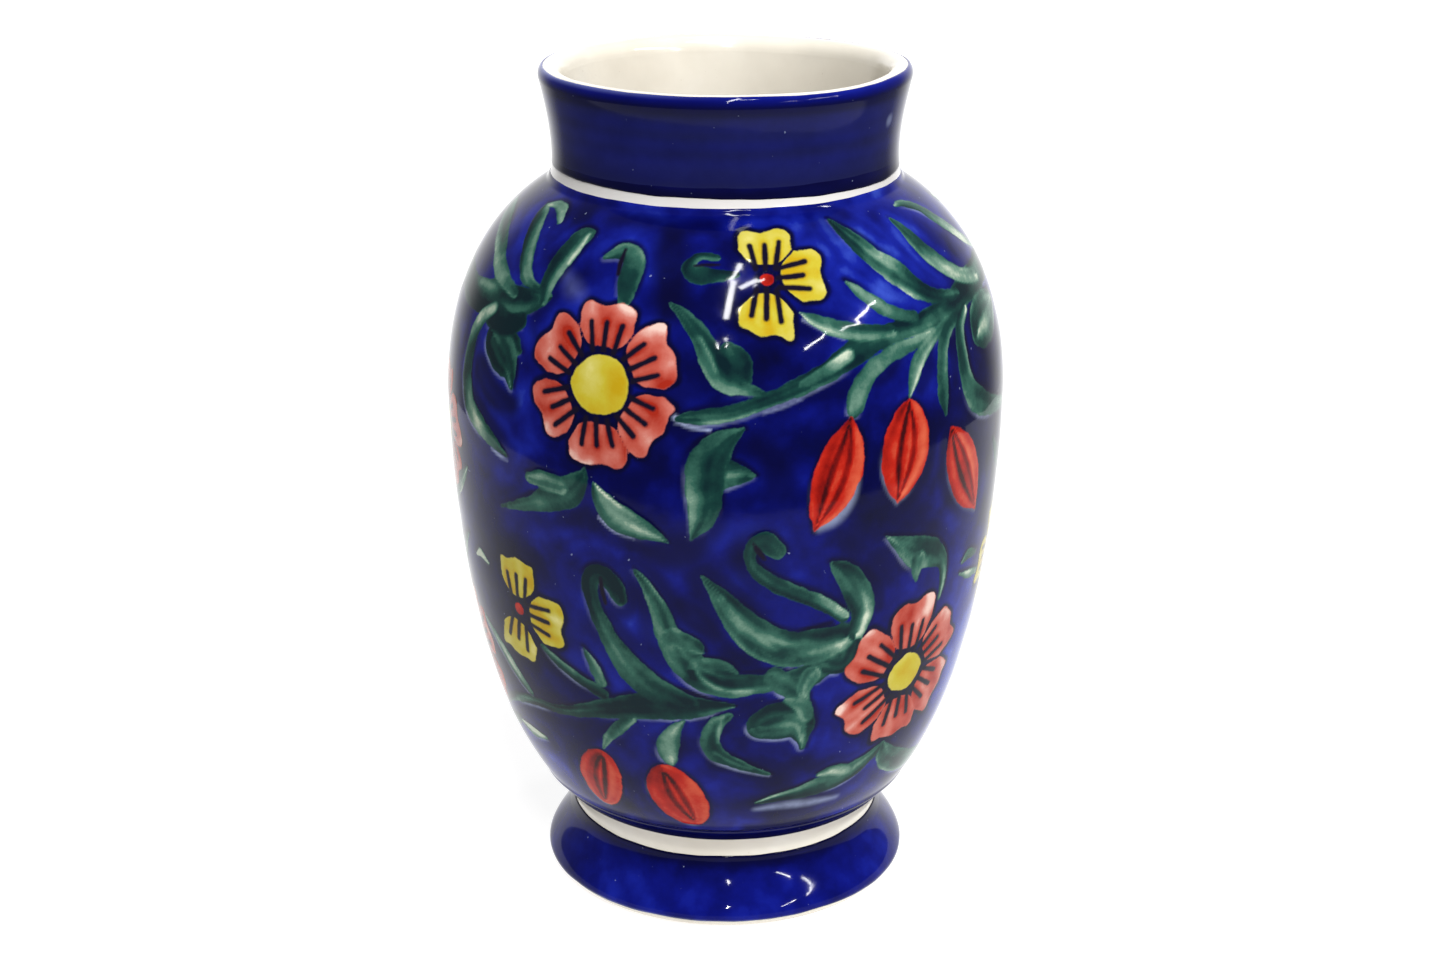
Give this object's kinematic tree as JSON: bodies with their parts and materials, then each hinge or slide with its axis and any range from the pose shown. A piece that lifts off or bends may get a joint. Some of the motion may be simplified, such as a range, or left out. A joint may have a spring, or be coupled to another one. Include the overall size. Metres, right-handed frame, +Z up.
{
  "type": "talavera pottery vase",
  "caption": "Round-bellied earthenware vase with flared neck and foot ring, white tin glaze, cobalt ground and hand-painted flowers, buds and leaves.",
  "frame": {"origin": "centre of the foot ring, on the surface the vase stands on", "axes": "+Z up the axis of the vase; +X to the right and -Y towards a person facing the large coral flower"},
  "size_m": [0.1652, 0.1652, 0.25],
  "materials": {
    "clay": "bare buff fired earthenware, matt and slightly gritty",
    "white_glaze": "warm white tin glaze, glossy",
    "cobalt_glaze": "brushed cobalt blue under clear gloss, with coral, yellow, red and green flowers and leaves",
    "line_glaze": "dark navy banding line, glossy"
  },
  "bodies": {
    "root": {"clay_foot": "clay", "clay_belly": "clay", "clay_neck": "clay", "ground_glaze": "white_glaze", "lining_glaze": "white_glaze", "cobalt_foot": "cobalt_glaze", "foot_line": "line_glaze", "waist_line": "line_glaze", "cobalt_belly": "cobalt_glaze", "neck_line": "line_glaze", "cobalt_neck": "cobalt_glaze"}
  },
  "joints": []
}
